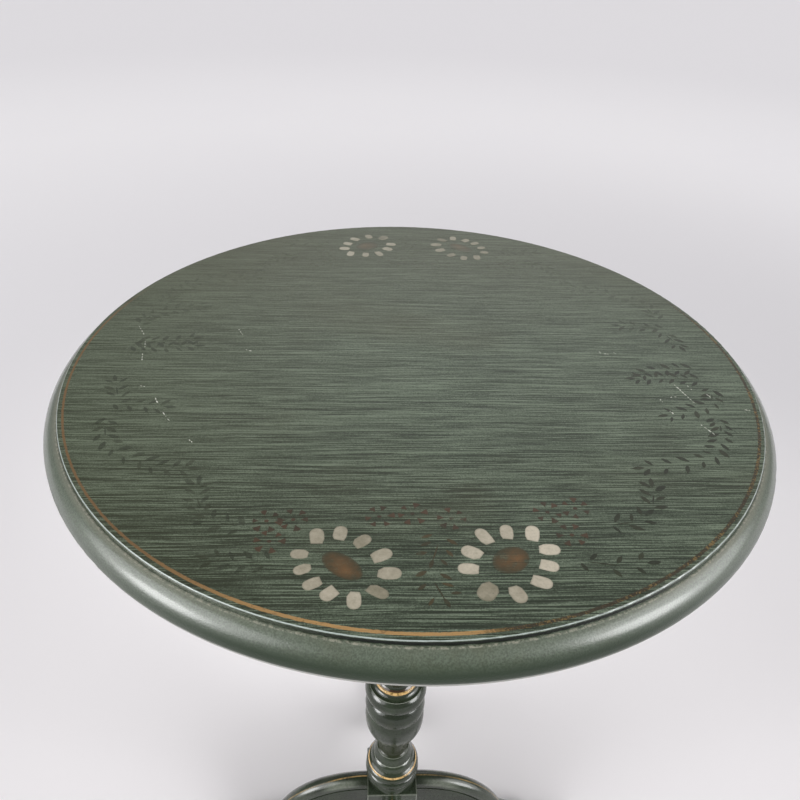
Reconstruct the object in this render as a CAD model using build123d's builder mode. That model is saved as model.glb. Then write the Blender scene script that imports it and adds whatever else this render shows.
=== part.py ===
from build123d import *
import math
import os

# Tilt top table, in millimetres. The origin is on the floor under the middle of the column,
# +Z is up, the sitter's side is -Y and the top swings up about pivots near the block's -Y edge.

# ---------------------------------------------------------------- driving dimensions
TABLE_HEIGHT = 711.0            # 28 in, floor to top face
TOP_RADIUS = 254.0              # 20 in top, over the moulding
TOP_THICKNESS = 25.0
FACE_RADIUS = 243.0             # edge of the flat face, where the riser drops
ARRIS = 0.8
RISER_HEIGHT = 3.8
LEDGE_WIDTH = 1.0               # bare shoulder under the riser
MOULD_WIDEST_DROP = 17.0        # how far down the moulding is at its widest
UNDERSIDE_RADIUS = 248.5

BLOCK_LENGTH = 110.0            # tilt block, along X
BLOCK_WIDTH = 100.0             # tilt block, along Y
BLOCK_THICKNESS = 28.0
BLOCK_CHAMFER = 2.5
BLOCK_GAP = 0.5                 # block's top to the underside of the round top
PIVOT_DROP = 14.0               # pivot axis below the underside of the round top
PIVOT_RADIUS = 4.0
PIVOT_LENGTH = 40.0
PIVOT_HOLE_RADIUS = 4.05
PIN_CHAMFER = 0.6
WASHER_THICKNESS = 1.6
WASHER_RADIUS = 8.0

BATTEN_LENGTH = 400.0
BATTEN_WIDTH = 20.0
BATTEN_DEPTH = 26.0
BATTEN_END_DEPTH = 11.0
BATTEN_CHAMFER = 1.5
BATTEN_FLAT = 90.0              # half-length of the batten's full-depth middle
BATTEN_GAP = 2.0                # tilt block's side to the batten, holds the washer

TENON_RADIUS = 14.0
TENON_HOLE_RADIUS = 14.1
WEDGE_DEPTH = 20.0
WEDGE_WIDTH = 24.0
WEDGE_THICK = 2.4
WEDGE_THIN = 1.2

FOOT_BLOCK_HALF = 29.0          # square block at the foot of the column
FOOT_BLOCK_TOP = 123.0
FOOT_BLOCK_BOTTOM = 58.0
FOOT_BLOCK_ARRIS = 1.6

LEG_THICKNESS = 22.0
LEG_ROOT_TOP = 100.4            # top line of the leg's flat sides where it meets the block
LEG_LEVEL_END = 32.0            # the top line runs level from the block to here
LEG_SHOULDER_RADIUS = 105.0
LEG_INSTEP_RADIUS = 46.0
LEG_SLOPE = 63.0                # steepest fall of the top line, in degrees
LEG_TOE_RADIUS = 12.0
LEG_REACH = 190.0               # toe, at the floor, without the bead
ARCH_LEVEL_END = 50.0           # the underside runs level from the block to here
ARCH_SHOULDER_RADIUS = 56.0
ARCH_HEEL_RADIUS = 46.0
ARCH_SLOPE = 52.0
BEAD_RADIUS = 10.5              # half-round bead along the leg's top
QUIRK_HEIGHT = 1.2              # shadow line between the bead and the flat sides
QUIRK_HALF_WIDTH = 9.6
BEAD_ROOT = 1.5                 # how far the bead is let into the leg
GLIDE_HEIGHT = 3.0
GLIDE_RADIUS = 9.0
GLIDE_FLAT_RADIUS = 6.0
GLIDE_AT = 168.0                # glide's distance from the column's axis
NAIL_RADIUS = 1.2
NAIL_HOLE_RADIUS = 1.3
NAIL_LENGTH = 9.0

DOWEL_RADIUS = 4.0
DOWEL_HOLE_RADIUS = 4.05
DOWEL_LENGTH = 32.0
DOWEL_HEIGHTS = (78.0, 92.0)

PLATE_THICKNESS = 2.4
PLATE_ARM = 45.0                # brace plate's arm, from the axis
PLATE_WIDTH = 18.0
PLATE_CENTRE = 40.0

SCREW_RADIUS = 1.8
SCREW_HOLE_RADIUS = 1.9
SCREW_HEAD_RADIUS = 3.6
SCREW_HEAD_HEIGHT = 2.2
SCREW_SINK_RADIUS = 4.1
SCREW_SINK_ANGLE = 90
SLOT_WIDTH = 0.8
SLOT_DEPTH = 0.9

BOLT_WIDTH = 14.0
BOLT_HEIGHT = 6.0
BOLT_LENGTH = 28.0
BOLT_BEVEL = 3.0                # under the nose, so that the catch snaps shut
BOLT_CLEARANCE = 0.2
BOLT_DROP = 8.0                 # bolt's middle below the underside of the round top
BOLT_NOSE_GAP = 9.0             # drawn-back nose to the tilt block
CASE_NOSE_GAP = 11.0            # case's front to the tilt block
CASE_WIDTH = 22.0
CASE_LENGTH = 44.0
CASE_BOTTOM_WALL = 2.0
CASE_FLANGE_WIDTH = 46.0
CASE_FLANGE_THICKNESS = 2.4
CASE_BACK_WALL = 2.0
KNOB_AT = 14.0                  # knob's stem behind the bolt's nose
KNOB_RADIUS = 6.0
KNOB_NECK_RADIUS = 3.2
KNOB_HEIGHT = 10.0
KNOB_CASE_GAP = 0.4
KNOB_STEM_RADIUS = 2.0
KNOB_HOLE_RADIUS = 2.05
KNOB_DEPTH_IN_BOLT = 4.0
KNOB_TRAVEL = 6.0
KNOB_SLOT_SPARE = 0.5
SPRING_RADIUS = 2.2
SPRING_WIRE_RADIUS = 0.35
SPRING_PITCH = 2.0
SPRING_END_GAP = 0.6

STRIKE_WIDTH = 40.0
STRIKE_THICKNESS = 1.5
STRIKE_LIP = 7.0
STRIKE_HEIGHT = 23.0
STRIKE_LIP_GAP = 0.5            # lip above the bolt

# The column's turned outline from the tilt block down to the square block: radius, height, and
# how far the stretch that ends there stands outside its chord (0 is straight).
COLUMN_OUTLINE = [
    # collar under the tilt block
    (23.0, 655.0, 0.0),
    (23.0, 646.0, 2.6),
    (20.5, 645.0, 0.0),
    (16.0, 634.0, -2.2),
    (19.0, 632.5, 0.0),
    (19.0, 627.5, 1.4),
    (15.5, 626.0, 0.0),
    (14.5, 616.0, -0.4),
    # long slender vase
    (23.0, 420.0, 1.6),
    (17.5, 328.0, 3.0),
    (17.5, 322.0, 0.0),
    # gilded collar over the big ring
    (20.9, 317.5, -0.6),
    (22.6, 315.0, 0.8),
    (28.3, 310.7, -1.3),
    (28.3, 309.5, 0.0),
    (27.4, 309.0, 0.0),
    (26.8, 288.0, 5.4),
    (25.4, 286.6, 0.0),
    (29.6, 263.0, 4.3),
    (29.9, 262.0, 0.0),
    # round vase body
    (31.8, 247.5, 0.9),
    (16.0, 208.5, 4.2),
    # neck
    (15.0, 204.0, -0.5),
    (15.0, 189.0, 0.0),
    (18.0, 184.0, -0.8),
    (18.0, 182.6, 0.2),
    (22.0, 173.0, 0.7),
    (21.4, 171.6, 0.0),
    (24.4, 160.0, 2.0),
    # gilded ring and lower rings
    (26.2, 158.6, 0.0),
    (28.2, 155.8, 0.5),
    (28.4, 146.6, 2.0),
    (27.6, 145.8, 0.0),
    (27.8, 134.4, 3.2),
    (28.0, 133.6, 0.0),
    (29.0, 124.2, 1.0),
    (28.6, FOOT_BLOCK_TOP, 0.0),
]
COLUMN_COLLAR_TOP = 23.0        # radius of the collar's face, under the tilt block

# ---------------------------------------------------------------- worked-out heights
UNDERSIDE = TABLE_HEIGHT - TOP_THICKNESS
BLOCK_TOP = UNDERSIDE - BLOCK_GAP
BLOCK_BOTTOM = BLOCK_TOP - BLOCK_THICKNESS
PIVOT_Z = UNDERSIDE - PIVOT_DROP
BLOCK_NOSE_RADIUS = PIVOT_DROP - BLOCK_GAP
PIVOT_Y = -BLOCK_WIDTH / 2 + BLOCK_NOSE_RADIUS
BATTEN_INNER = BLOCK_LENGTH / 2 + BATTEN_GAP
BATTEN_MIDDLE = BATTEN_INNER + BATTEN_WIDTH / 2
BLOCK_BACK = BLOCK_WIDTH / 2
BOLT_Z = UNDERSIDE - BOLT_DROP
CASE_FRONT = BLOCK_BACK + CASE_NOSE_GAP
BOLT_NOSE = BLOCK_BACK + BOLT_NOSE_GAP
CASE_BOTTOM = BOLT_Z - BOLT_HEIGHT / 2 - BOLT_CLEARANCE - CASE_BOTTOM_WALL
KNOB_Y = BOLT_NOSE + KNOB_AT
KNOB_TOP = CASE_BOTTOM - KNOB_CASE_GAP
STRIKE_TOP = BOLT_Z + BOLT_HEIGHT / 2 + STRIKE_LIP_GAP + STRIKE_THICKNESS

LEG_ANGLES = {"leg_right": 0, "leg_back": 90, "leg_left": 180, "leg_front": 270}

os.makedirs("parts", exist_ok=True)


def save(part, label):
    """Label a finished sub-part and write its STEP file."""
    part.label = label
    export_step(part, f"parts/{label}.step")


def bulged(start, end, bulge):
    """An arc whose middle stands outside its chord by bulge, or inside it if bulge is negative."""
    chord = Vector(end) - Vector(start)
    outward = Vector(-chord.Y, chord.X).normalized()
    middle = (Vector(start) + Vector(end)) / 2 + outward * bulge
    return ThreePointArc(start, middle, end)


def fall_in_two_curves(start, end_height, slope, upper_radius, lower_radius):
    """An S-shaped line that leaves start level, falls and ends level; gives back its end."""
    turn = math.radians(slope)
    curved_fall = (upper_radius + lower_radius) * (1 - math.cos(turn))
    straight = (start.Y - end_height - curved_fall) / math.sin(turn)
    upper = JernArc(start, (1, 0), upper_radius, -slope)
    steep = PolarLine(upper @ 1, straight, -slope)
    lower = JernArc(steep @ 1, steep % 1, lower_radius, slope)
    return lower @ 1


def wood_screw(length):
    """A slotted countersunk wood screw, its head's face at z = 0 and its shank up +Z."""
    with BuildPart() as screw:
        with BuildSketch(Plane.XZ):
            with BuildLine():
                Polyline(
                    (0, 0),
                    (SCREW_HEAD_RADIUS, 0),
                    (SCREW_HEAD_RADIUS, 0.4),
                    (SCREW_RADIUS, SCREW_HEAD_HEIGHT),
                    (SCREW_RADIUS, length - 3.0),
                    (0.5, length),
                    (0, length),
                    close=True,
                )
            make_face()
        revolve(axis=Axis.Z)
        with BuildSketch(Plane.XY):
            Rectangle(2 * SCREW_HEAD_RADIUS + 1, SLOT_WIDTH)
        extrude(amount=SLOT_DEPTH, mode=Mode.SUBTRACT)
    return screw.part


# ---------------------------------------------------------------- places
BATTEN_SCREW_Y = (-150.0, -75.0, 75.0, 150.0)
BATTEN_SCREW_BITE = 12.0        # length of screw in the round top
BATTEN_SCREW_LENGTH = 24.0
BATTEN_SCREW_HEAD_Z = UNDERSIDE + BATTEN_SCREW_BITE - BATTEN_SCREW_LENGTH
CASE_SCREW_LENGTH = 12.0
CASE_SCREW_X = CASE_FLANGE_WIDTH / 2 - 6.0
CASE_SCREW_Y = (CASE_FRONT + 8.0, CASE_FRONT + CASE_LENGTH - 8.0)
CASE_SCREW_HEAD_Z = UNDERSIDE - CASE_FLANGE_THICKNESS
STRIKE_SCREW_LENGTH = 16.0
STRIKE_SCREW_X = 13.0
STRIKE_SCREW_Z = 667.0
BRACE_SCREW_LENGTH = 16.0
BRACE_SCREW_REACH = (17.0, 38.0)
SCREW_SPARE = 0.5               # how much deeper a screw's hole is than the screw
FROM_BELOW = (180, 0, 0)        # turns a hole so that it runs upwards


def batten_screw_places(height):
    """Where the batten screws stand, at a height, each hole running upwards."""
    return [
        Location((x, y, height), FROM_BELOW)
        for x in (-BATTEN_MIDDLE, BATTEN_MIDDLE)
        for y in BATTEN_SCREW_Y
    ]


def case_screw_places(height):
    """Where the latch case's screws stand, at a height, each hole running upwards."""
    return [
        Location((x, y, height), FROM_BELOW)
        for x in (-CASE_SCREW_X, CASE_SCREW_X)
        for y in CASE_SCREW_Y
    ]


def strike_screw_places():
    """Where the strike plate's screws stand, on its back face, each hole running to -Y."""
    back = BLOCK_BACK + STRIKE_THICKNESS
    return [
        Location((x, back, STRIKE_SCREW_Z), (-90, 0, 0)) for x in (-STRIKE_SCREW_X, STRIKE_SCREW_X)
    ]


def leg_place(angle, reach, height):
    """A point out along a leg, with its hole running upwards."""
    turn = math.radians(angle)
    return Location((reach * math.cos(turn), reach * math.sin(turn), height), FROM_BELOW)


def brace_screw_places(height):
    """Where the brace plate's screws stand, at a height, each hole running upwards."""
    return [
        leg_place(angle, reach, height)
        for angle in LEG_ANGLES.values()
        for reach in BRACE_SCREW_REACH
    ]


def side_plane(angle):
    """The upright plane through a leg's middle: X runs outwards and Y runs up."""
    turn = math.radians(angle)
    outward = (math.cos(turn), math.sin(turn), 0)
    return Plane(origin=(0, 0, 0), x_dir=outward, z_dir=(math.sin(turn), -math.cos(turn), 0))


def root_plane(angle):
    """The plane of a leg's root on the square block, facing outwards, with Y running up."""
    turn = math.radians(angle)
    outward = (math.cos(turn), math.sin(turn), 0)
    root = (FOOT_BLOCK_HALF * outward[0], FOOT_BLOCK_HALF * outward[1], LEG_ROOT_TOP)
    return Plane(origin=root, x_dir=(-outward[1], outward[0], 0), z_dir=outward)


# ---------------------------------------------------------------- round top
with BuildPart() as top_board:
    with BuildSketch(Plane.XZ):
        with BuildLine():
            face = Line((0, TABLE_HEIGHT), (FACE_RADIUS - ARRIS, TABLE_HEIGHT))
            arris = RadiusArc(face @ 1, (FACE_RADIUS, TABLE_HEIGHT - ARRIS), ARRIS)
            riser = Line(arris @ 1, (FACE_RADIUS, TABLE_HEIGHT - RISER_HEIGHT))
            ledge = Line(riser @ 1, (FACE_RADIUS + LEDGE_WIDTH, TABLE_HEIGHT - RISER_HEIGHT))
            widest = (TOP_RADIUS, TABLE_HEIGHT - MOULD_WIDEST_DROP)
            TangentArc(widest, ledge @ 1, tangent=(0, 1))
            belly = TangentArc(widest, (UNDERSIDE_RADIUS, UNDERSIDE), tangent=(0, -1))
            Polyline(belly @ 1, (0, UNDERSIDE), (0, TABLE_HEIGHT))
        make_face()
    revolve(axis=Axis.Z)
    with Locations(*batten_screw_places(UNDERSIDE)):
        Hole(SCREW_HOLE_RADIUS, depth=BATTEN_SCREW_BITE + SCREW_SPARE)
    with Locations(*case_screw_places(UNDERSIDE)):
        Hole(SCREW_HOLE_RADIUS, depth=CASE_SCREW_LENGTH - CASE_FLANGE_THICKNESS + SCREW_SPARE)
save(top_board.part, "top_board")


# ---------------------------------------------------------------- battens under the top
def batten(middle_x):
    """A bearer with tapered ends, bored for its pivot pin and four sunk screws."""
    half = BATTEN_LENGTH / 2
    with BuildPart() as bearer:
        with BuildSketch(Plane.YZ.offset(middle_x)):
            with BuildLine():
                Polyline(
                    (-half, UNDERSIDE),
                    (-half, UNDERSIDE - BATTEN_END_DEPTH),
                    (-BATTEN_FLAT, UNDERSIDE - BATTEN_DEPTH),
                    (BATTEN_FLAT, UNDERSIDE - BATTEN_DEPTH),
                    (half, UNDERSIDE - BATTEN_END_DEPTH),
                    (half, UNDERSIDE),
                    close=True,
                )
            make_face()
        extrude(amount=BATTEN_WIDTH / 2, both=True)
        low_edges = bearer.edges().filter_by(Axis.Z, reverse=True).sort_by(Axis.Z)[:6]
        chamfer(low_edges, length=BATTEN_CHAMFER)
        with BuildSketch(Plane.YZ.offset(middle_x)):
            with Locations((PIVOT_Y, PIVOT_Z)):
                Circle(PIVOT_HOLE_RADIUS)
        extrude(amount=BATTEN_WIDTH, both=True, mode=Mode.SUBTRACT)
        places = batten_screw_places(BATTEN_SCREW_HEAD_Z)
        with Locations(*[place for place in places if place.position.X * middle_x > 0]):
            CounterSinkHole(
                SCREW_HOLE_RADIUS,
                SCREW_SINK_RADIUS,
                depth=BATTEN_SCREW_LENGTH,
                counter_sink_angle=SCREW_SINK_ANGLE,
            )
    return bearer.part


save(batten(-BATTEN_MIDDLE), "batten_left")
save(batten(BATTEN_MIDDLE), "batten_right")

batten_screw = wood_screw(BATTEN_SCREW_LENGTH)
with BuildPart() as batten_screws:
    for place in batten_screw_places(BATTEN_SCREW_HEAD_Z):
        add(batten_screw.moved(Location(place.position)))
save(batten_screws.part, "batten_screws")

# ---------------------------------------------------------------- tilt block and its pivots
with BuildPart() as tilt_block:
    with BuildSketch(Plane.XY.offset(BLOCK_BOTTOM)):
        Rectangle(BLOCK_LENGTH, BLOCK_WIDTH)
    extrude(amount=BLOCK_THICKNESS)
    front_top = tilt_block.edges().filter_by(Axis.X).group_by(Axis.Z)[-1].sort_by(Axis.Y)[0]
    fillet(front_top, radius=BLOCK_NOSE_RADIUS)
    bottom = tilt_block.faces().sort_by(Axis.Z)[0]
    chamfer(bottom.edges(), length=BLOCK_CHAMFER)
    with Locations((0, 0, BLOCK_TOP)):
        Hole(TENON_HOLE_RADIUS)
    for side in (-1, 1):
        with BuildSketch(Plane.YZ.offset(side * BLOCK_LENGTH / 2)):
            with Locations((PIVOT_Y, PIVOT_Z)):
                Circle(PIVOT_HOLE_RADIUS)
        extrude(amount=-side * (PIVOT_LENGTH / 2 + 0.5), mode=Mode.SUBTRACT)
    with Locations(*strike_screw_places()):
        CounterSinkHole(
            SCREW_HOLE_RADIUS,
            SCREW_SINK_RADIUS,
            depth=STRIKE_SCREW_LENGTH + SCREW_SPARE,
            counter_sink_angle=SCREW_SINK_ANGLE,
        )
save(tilt_block.part, "tilt_block")

for side, name in ((-1, "left"), (1, "right")):
    with BuildPart() as pivot_pin:
        with BuildSketch(Plane.YZ.offset(side * BLOCK_LENGTH / 2)):
            with Locations((PIVOT_Y, PIVOT_Z)):
                Circle(PIVOT_RADIUS)
        extrude(amount=PIVOT_LENGTH / 2, both=True)
        chamfer(pivot_pin.edges(), length=PIN_CHAMFER)
    save(pivot_pin.part, f"pivot_pin_{name}")
    with BuildPart() as pivot_washer:
        with BuildSketch(Plane.YZ.offset(side * (BLOCK_LENGTH + BATTEN_GAP) / 2)):
            with Locations((PIVOT_Y, PIVOT_Z)):
                Circle(WASHER_RADIUS)
                Circle(PIVOT_HOLE_RADIUS, mode=Mode.SUBTRACT)
        extrude(amount=WASHER_THICKNESS / 2, both=True)
    save(pivot_washer.part, f"pivot_washer_{name}")

# ---------------------------------------------------------------- column
wedge_profile = [
    (-WEDGE_THICK / 2, BLOCK_TOP),
    (-WEDGE_THIN / 2, BLOCK_TOP - WEDGE_DEPTH),
    (WEDGE_THIN / 2, BLOCK_TOP - WEDGE_DEPTH),
    (WEDGE_THICK / 2, BLOCK_TOP),
]

with BuildPart() as column:
    with BuildSketch(Plane.XZ):
        with BuildLine():
            Polyline(
                (0, FOOT_BLOCK_TOP - 1),
                (0, BLOCK_TOP),
                (TENON_RADIUS, BLOCK_TOP),
                (TENON_RADIUS, BLOCK_BOTTOM),
                (COLUMN_COLLAR_TOP, BLOCK_BOTTOM),
            )
            last = (COLUMN_COLLAR_TOP, BLOCK_BOTTOM)
            for radius, height, bulge in COLUMN_OUTLINE:
                if bulge == 0:
                    Line(last, (radius, height))
                else:
                    bulged(last, (radius, height), bulge)
                last = (radius, height)
            Polyline(last, (last[0], FOOT_BLOCK_TOP - 1), (0, FOOT_BLOCK_TOP - 1))
        make_face()
    revolve(axis=Axis.Z)
    with BuildSketch(Plane.XY.offset(FOOT_BLOCK_BOTTOM)):
        RectangleRounded(2 * FOOT_BLOCK_HALF, 2 * FOOT_BLOCK_HALF, FOOT_BLOCK_ARRIS)
    extrude(amount=FOOT_BLOCK_TOP - FOOT_BLOCK_BOTTOM)
    with BuildSketch(Plane.YZ):
        with BuildLine():
            Polyline(*wedge_profile, close=True)
        make_face()
    extrude(amount=WEDGE_WIDTH / 2, both=True, mode=Mode.SUBTRACT)
    for angle in LEG_ANGLES.values():
        with BuildSketch(root_plane(angle)):
            with Locations(*[(0, height - LEG_ROOT_TOP) for height in DOWEL_HEIGHTS]):
                Circle(DOWEL_HOLE_RADIUS)
        extrude(amount=-DOWEL_LENGTH / 2, mode=Mode.SUBTRACT)
    with Locations(*brace_screw_places(FOOT_BLOCK_BOTTOM)):
        Hole(SCREW_HOLE_RADIUS, depth=BRACE_SCREW_LENGTH - PLATE_THICKNESS + SCREW_SPARE)
save(column.part, "column")

with BuildPart() as tenon_wedge:
    with BuildSketch(Plane.YZ):
        with BuildLine():
            Polyline(*wedge_profile, close=True)
        make_face()
    extrude(amount=WEDGE_WIDTH / 2, both=True)
save(tenon_wedge.part, "tenon_wedge")


# ---------------------------------------------------------------- scroll legs
def leg_top_line():
    """Top line of the leg's flat sides, from the block out and down to the toe at the floor."""
    level = Line((FOOT_BLOCK_HALF, LEG_ROOT_TOP), (LEG_LEVEL_END, LEG_ROOT_TOP))
    toe_height = GLIDE_HEIGHT + LEG_TOE_RADIUS
    instep = fall_in_two_curves(
        level @ 1, toe_height, LEG_SLOPE, LEG_SHOULDER_RADIUS, LEG_INSTEP_RADIUS
    )
    foot = Line(instep, (LEG_REACH - LEG_TOE_RADIUS, toe_height))
    return JernArc(foot @ 1, (1, 0), LEG_TOE_RADIUS, -90) @ 1


def scroll_leg(angle):
    """A scroll-cut leg that stands out from the column at angle, with a bead along its top."""
    side = side_plane(angle)
    root = root_plane(angle)
    with BuildLine() as flat_line:
        leg_top_line()
    bead_path = side.location * flat_line.line
    with BuildPart() as leg:
        with BuildSketch(side):
            with BuildLine():
                toe = leg_top_line()
                level = Line((FOOT_BLOCK_HALF, FOOT_BLOCK_BOTTOM), (ARCH_LEVEL_END, FOOT_BLOCK_BOTTOM))
                heel = fall_in_two_curves(
                    level @ 1, GLIDE_HEIGHT, ARCH_SLOPE, ARCH_SHOULDER_RADIUS, ARCH_HEEL_RADIUS
                )
                Line(heel, toe)
                Line((FOOT_BLOCK_HALF, FOOT_BLOCK_BOTTOM), (FOOT_BLOCK_HALF, LEG_ROOT_TOP))
            make_face()
        extrude(amount=LEG_THICKNESS / 2, both=True)
        with BuildSketch(root):
            with BuildLine():
                bead_left = (-BEAD_RADIUS, QUIRK_HEIGHT)
                bead_right = (BEAD_RADIUS, QUIRK_HEIGHT)
                ThreePointArc(bead_right, (0, QUIRK_HEIGHT + BEAD_RADIUS), bead_left)
                Polyline(
                    bead_left,
                    (-QUIRK_HALF_WIDTH, QUIRK_HEIGHT),
                    (-QUIRK_HALF_WIDTH, -BEAD_ROOT),
                    (QUIRK_HALF_WIDTH, -BEAD_ROOT),
                    (QUIRK_HALF_WIDTH, QUIRK_HEIGHT),
                    bead_right,
                )
            make_face()
        sweep(path=bead_path)
        with BuildSketch(root):
            with Locations(*[(0, height - LEG_ROOT_TOP) for height in DOWEL_HEIGHTS]):
                Circle(DOWEL_HOLE_RADIUS)
        extrude(amount=DOWEL_LENGTH / 2 + 0.5, mode=Mode.SUBTRACT)
        with Locations(leg_place(angle, BRACE_SCREW_REACH[1], FOOT_BLOCK_BOTTOM)):
            Hole(SCREW_HOLE_RADIUS, depth=BRACE_SCREW_LENGTH - PLATE_THICKNESS + SCREW_SPARE)
        with Locations(leg_place(angle, GLIDE_AT, GLIDE_HEIGHT)):
            Hole(NAIL_HOLE_RADIUS, depth=NAIL_LENGTH + 0.5)
    return leg.part


for name, angle in LEG_ANGLES.items():
    save(scroll_leg(angle), name)

with BuildPart() as leg_dowels:
    for angle in LEG_ANGLES.values():
        with BuildSketch(root_plane(angle)):
            with Locations(*[(0, height - LEG_ROOT_TOP) for height in DOWEL_HEIGHTS]):
                Circle(DOWEL_RADIUS)
        extrude(amount=DOWEL_LENGTH / 2 - 0.5, both=True)
save(leg_dowels.part, "leg_dowels")

# ---------------------------------------------------------------- brace plate and glides
with BuildPart() as brace_plate:
    with BuildSketch(Plane.XY.offset(FOOT_BLOCK_BOTTOM - PLATE_THICKNESS)):
        Rectangle(2 * PLATE_ARM, PLATE_WIDTH)
        Rectangle(PLATE_WIDTH, 2 * PLATE_ARM)
        Rectangle(PLATE_CENTRE, PLATE_CENTRE, rotation=45)
    extrude(amount=PLATE_THICKNESS)
    with Locations(*brace_screw_places(FOOT_BLOCK_BOTTOM - PLATE_THICKNESS)):
        CounterSinkHole(
            SCREW_HOLE_RADIUS,
            SCREW_SINK_RADIUS,
            depth=PLATE_THICKNESS,
            counter_sink_angle=SCREW_SINK_ANGLE,
        )
save(brace_plate.part, "brace_plate")

brace_screw = wood_screw(BRACE_SCREW_LENGTH)
with BuildPart() as brace_screws:
    for place in brace_screw_places(FOOT_BLOCK_BOTTOM - PLATE_THICKNESS):
        add(brace_screw.moved(Location(place.position)))
save(brace_screws.part, "brace_screws")


def glide(angle):
    """A domed nail-on glide under a toe."""
    with BuildPart() as button:
        with BuildSketch(Plane.XZ):
            with BuildLine():
                foot = Line((0, 0), (GLIDE_FLAT_RADIUS, 0))
                dome = TangentArc(foot @ 1, (GLIDE_RADIUS, GLIDE_HEIGHT - 1), tangent=(1, 0))
                Polyline(
                    dome @ 1,
                    (GLIDE_RADIUS, GLIDE_HEIGHT),
                    (NAIL_RADIUS, GLIDE_HEIGHT),
                    (NAIL_RADIUS, GLIDE_HEIGHT + NAIL_LENGTH - 2),
                    (0, GLIDE_HEIGHT + NAIL_LENGTH),
                    (0, 0),
                )
            make_face()
        revolve(axis=Axis.Z)
    return button.part.moved(Location(leg_place(angle, GLIDE_AT, 0).position))


for name, angle in LEG_ANGLES.items():
    save(glide(angle), name.replace("leg", "glide"))

# ---------------------------------------------------------------- spring catch
with BuildPart() as strike_plate:
    with BuildSketch(Plane.XZ.offset(-BLOCK_BACK)):
        with Locations((0, STRIKE_TOP - STRIKE_HEIGHT / 2)):
            Rectangle(STRIKE_WIDTH, STRIKE_HEIGHT)
    extrude(amount=-STRIKE_THICKNESS)
    with BuildSketch(Plane.XY.offset(STRIKE_TOP)):
        with Locations((0, BLOCK_BACK + STRIKE_LIP / 2)):
            Rectangle(STRIKE_WIDTH, STRIKE_LIP)
    extrude(amount=-STRIKE_THICKNESS)
    with Locations(*strike_screw_places()):
        CounterSinkHole(
            SCREW_HOLE_RADIUS,
            SCREW_SINK_RADIUS,
            depth=STRIKE_THICKNESS,
            counter_sink_angle=SCREW_SINK_ANGLE,
        )
save(strike_plate.part, "strike_plate")

strike_screw = wood_screw(STRIKE_SCREW_LENGTH)
with BuildPart() as strike_screws:
    for place in strike_screw_places():
        add(strike_screw.moved(place * Location((0, 0, 0), (180, 0, 0))))
save(strike_screws.part, "strike_screws")

with BuildPart() as latch_case:
    with BuildSketch(Plane.XZ.offset(-CASE_FRONT)):
        with Locations((0, (UNDERSIDE + CASE_BOTTOM) / 2)):
            Rectangle(CASE_WIDTH, UNDERSIDE - CASE_BOTTOM)
        with Locations((0, UNDERSIDE - CASE_FLANGE_THICKNESS / 2)):
            Rectangle(CASE_FLANGE_WIDTH, CASE_FLANGE_THICKNESS)
    extrude(amount=-CASE_LENGTH)
    with BuildSketch(Plane.XZ.offset(-CASE_FRONT)):
        with Locations((0, BOLT_Z)):
            Rectangle(BOLT_WIDTH + 2 * BOLT_CLEARANCE, BOLT_HEIGHT + 2 * BOLT_CLEARANCE)
    extrude(amount=-(CASE_LENGTH - CASE_BACK_WALL), mode=Mode.SUBTRACT)
    with BuildSketch(Plane.XY.offset(CASE_BOTTOM)):
        with Locations((0, KNOB_Y - KNOB_TRAVEL / 2)):
            SlotCenterToCenter(
                KNOB_TRAVEL + KNOB_SLOT_SPARE, 2 * (KNOB_STEM_RADIUS + KNOB_SLOT_SPARE), rotation=90
            )
    extrude(amount=CASE_BOTTOM_WALL + BOLT_CLEARANCE, mode=Mode.SUBTRACT)
    with Locations(*case_screw_places(CASE_SCREW_HEAD_Z)):
        CounterSinkHole(
            SCREW_HOLE_RADIUS,
            SCREW_SINK_RADIUS,
            depth=CASE_FLANGE_THICKNESS,
            counter_sink_angle=SCREW_SINK_ANGLE,
        )
save(latch_case.part, "latch_case")

case_screw = wood_screw(CASE_SCREW_LENGTH)
with BuildPart() as latch_case_screws:
    for place in case_screw_places(CASE_SCREW_HEAD_Z):
        add(case_screw.moved(Location(place.position)))
save(latch_case_screws.part, "latch_case_screws")

with BuildPart() as latch_bolt:
    with BuildSketch(Plane.XZ.offset(-BOLT_NOSE)):
        with Locations((0, BOLT_Z)):
            Rectangle(BOLT_WIDTH, BOLT_HEIGHT)
    extrude(amount=-BOLT_LENGTH)
    nose_low_edge = latch_bolt.faces().sort_by(Axis.Y)[0].edges().sort_by(Axis.Z)[0]
    chamfer(nose_low_edge, length=BOLT_BEVEL)
    with Locations(Location((0, KNOB_Y, BOLT_Z - BOLT_HEIGHT / 2), (180, 0, 0))):
        Hole(KNOB_HOLE_RADIUS, depth=KNOB_DEPTH_IN_BOLT)
save(latch_bolt.part, "latch_bolt")

with BuildPart() as latch_knob:
    with BuildSketch(Plane.XZ.offset(-KNOB_Y)):
        with BuildLine():
            stem_top = BOLT_Z - BOLT_HEIGHT / 2 + KNOB_DEPTH_IN_BOLT - 0.2
            stem = Polyline((0, stem_top), (KNOB_STEM_RADIUS, stem_top), (KNOB_STEM_RADIUS, KNOB_TOP))
            flare = Line(stem @ 1, (KNOB_NECK_RADIUS, KNOB_TOP))
            neck = bulged(flare @ 1, (KNOB_RADIUS, KNOB_TOP - 5), -0.8)
            grip = bulged(neck @ 1, (KNOB_RADIUS - 1.5, KNOB_TOP - KNOB_HEIGHT), 0.9)
            Polyline(grip @ 1, (0, KNOB_TOP - KNOB_HEIGHT), (0, stem_top))
        make_face()
    revolve(axis=Axis((0, KNOB_Y, 0), (0, 0, 1)))
save(latch_knob.part, "latch_knob")

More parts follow.
